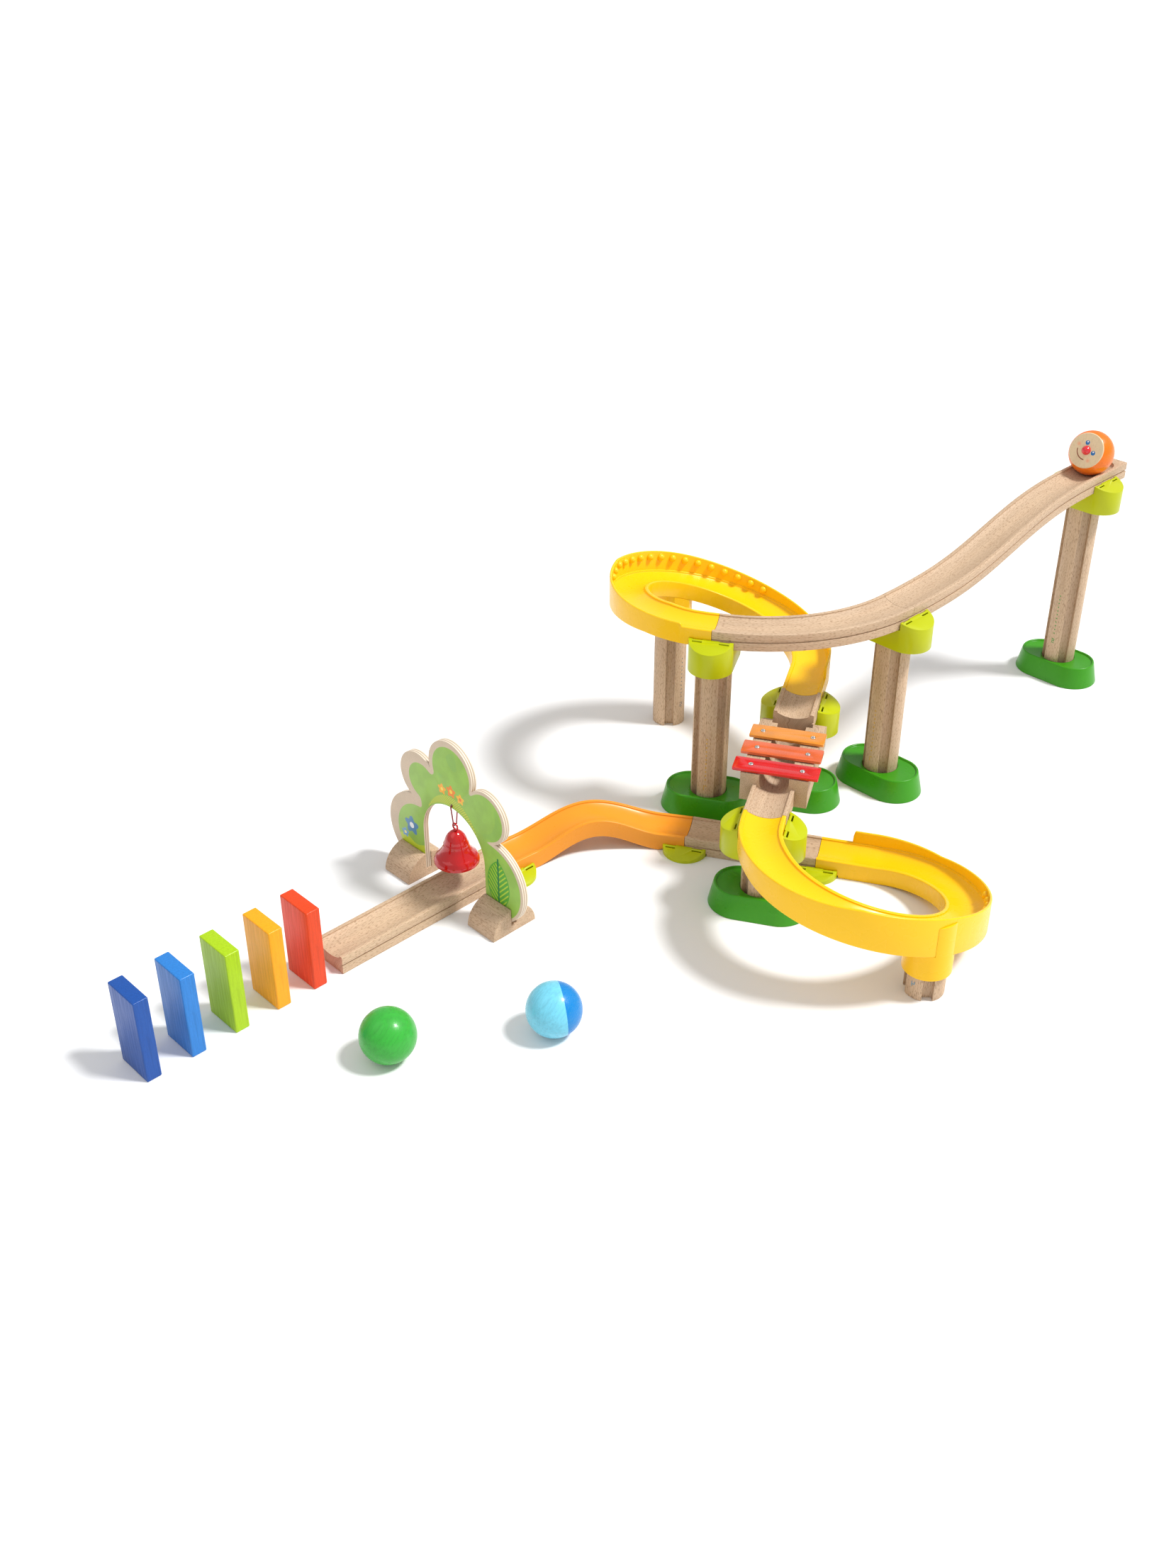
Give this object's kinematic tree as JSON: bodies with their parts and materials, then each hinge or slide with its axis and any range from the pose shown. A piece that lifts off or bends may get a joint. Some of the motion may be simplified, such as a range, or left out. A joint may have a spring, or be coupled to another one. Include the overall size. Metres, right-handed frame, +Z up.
{
  "type": "marble run",
  "caption": "Wooden and plastic ball run for small children: a ramp, spiral bends, a bar chime, a humped floor bend, an arch with a bell, and dominoes to knock over.",
  "frame": {"origin": "middle of the start post's foot on the floor", "axes": "+Z up; the first track runs from the origin along -X, and +Y is on its right"},
  "size_m": [1.0937, 0.4852, 0.2767],
  "materials": {
    "beech": "clear satin",
    "yellow_plastic": "moulded satin",
    "orange_plastic": "moulded satin",
    "dark_felt": "felt",
    "bar_amber": "gloss lacquer",
    "bar_orange": "gloss lacquer",
    "bar_red": "gloss lacquer",
    "bright_steel": "bright",
    "lime_plastic": "moulded satin",
    "green_plastic": "moulded satin",
    "arch_print": "printed plywood",
    "red_cord": "braided cord",
    "red_enamel": "high gloss enamel",
    "domino_red": "painted",
    "domino_amber": "painted",
    "domino_lime": "painted",
    "domino_blue": "painted",
    "domino_navy": "painted",
    "ball_orange": "gloss paint",
    "nose_red": "gloss paint",
    "ball_green": "gloss paint",
    "ball_sky": "gloss paint"
  },
  "bodies": {
    "frame": {"start_ramp": "beech", "upper_bend": "beech", "upper_loop": "yellow_plastic", "upper_loop_beads": "yellow_plastic", "upper_loop_socket": "yellow_plastic", "lower_loop": "yellow_plastic", "lower_loop_beads": "yellow_plastic", "lower_loop_socket": "yellow_plastic", "hump_bend": "orange_plastic", "short_floor_track": "beech", "long_floor_track": "beech", "chime_block": "beech", "chime_upper_stub": "beech", "chime_lower_stub": "beech", "chime_felt": "dark_felt", "chime_bar_amber": "bar_amber", "chime_bar_orange": "bar_orange", "chime_bar_red": "bar_red", "chime_screws": "bright_steel", "connector_start": "lime_plastic", "connector_bend_in": "lime_plastic", "connector_bend_out": "lime_plastic", "connector_chime": "lime_plastic", "connector_front": "lime_plastic", "floor_link_loop": "lime_plastic", "floor_link_hump": "lime_plastic", "floor_link_long": "lime_plastic", "post_start": "beech", "post_bend_in": "beech", "post_bend_out": "beech", "post_loop_upper": "beech", "post_chime": "beech", "post_front": "beech", "post_loop_lower": "beech", "foot_start": "green_plastic", "foot_bend_in": "green_plastic", "foot_bend_out": "green_plastic", "foot_chime": "green_plastic", "foot_front": "green_plastic", "arch_panel": "arch_print", "arch_foot_near": "beech", "arch_foot_far": "beech"},
    "domino_red": {"domino_red": "domino_red"},
    "domino_amber": {"domino_amber": "domino_amber"},
    "domino_lime": {"domino_lime": "domino_lime"},
    "domino_blue": {"domino_blue": "domino_blue"},
    "domino_navy": {"domino_navy": "domino_navy"},
    "ball_orange": {"ball_orange": "ball_orange", "ball_nose": "nose_red"},
    "ball_green": {"ball_green": "ball_green"},
    "ball_sky": {"ball_sky": "ball_sky"},
    "bell_cord": {"bell_cord": "red_cord"},
    "bell": {"bell_eye": "red_enamel", "bell_shell": "red_enamel"},
    "bell_clapper": {"bell_clapper": "bright_steel"}
  },
  "joints": [
    {"name": "domino_red_topple", "type": "hinge", "parent": "frame", "child": "domino_red", "pos_m": [-0.89904, 0.14646, 0], "axis": [0, -1, 0], "range_deg": [0, 17]},
    {"name": "domino_amber_topple", "type": "hinge", "parent": "frame", "child": "domino_amber", "pos_m": [-0.93463, 0.14646, 0], "axis": [0, -1, 0], "range_deg": [0, 20]},
    {"name": "domino_lime_topple", "type": "hinge", "parent": "frame", "child": "domino_lime", "pos_m": [-0.97433, 0.14646, 0], "axis": [0, -1, 0], "range_deg": [0, 20]},
    {"name": "domino_blue_topple", "type": "hinge", "parent": "frame", "child": "domino_blue", "pos_m": [-1.01404, 0.14646, 0], "axis": [0, -1, 0], "range_deg": [0, 20]},
    {"name": "domino_navy_topple", "type": "hinge", "parent": "frame", "child": "domino_navy", "pos_m": [-1.05374, 0.14646, 0], "axis": [0, -1, 0], "range_deg": [0, 90]},
    {"name": "ball_orange_roll", "type": "hinge", "parent": "frame", "child": "ball_orange", "pos_m": [-0.0037, 0, 0.2542], "axis": [0, 1, 0], "continuous": true},
    {"name": "ball_green_roll", "type": "hinge", "parent": "frame", "child": "ball_green", "pos_m": [-0.9047, 0.0229, 0.0225], "axis": [0, 1, 0], "continuous": true},
    {"name": "ball_sky_roll", "type": "hinge", "parent": "frame", "child": "ball_sky", "pos_m": [-0.7931, -0.0438, 0.0225], "axis": [0, 1, 0], "continuous": true},
    {"name": "bell_cord_sway", "type": "hinge", "parent": "frame", "child": "bell_cord", "pos_m": [-0.73054, 0.14646, 0.0939], "axis": [1, 0, 0], "range_deg": [-18, 18]},
    {"name": "bell_swing", "type": "hinge", "parent": "bell_cord", "child": "bell", "pos_m": [-0.73054, 0.14646, 0.0747], "axis": [0, 1, 0], "range_deg": [-20, 20]},
    {"name": "clapper_swing", "type": "hinge", "parent": "bell", "child": "bell_clapper", "pos_m": [-0.73054, 0.14646, 0.0651], "axis": [0, 1, 0], "range_deg": [-12, 12]}
  ]
}
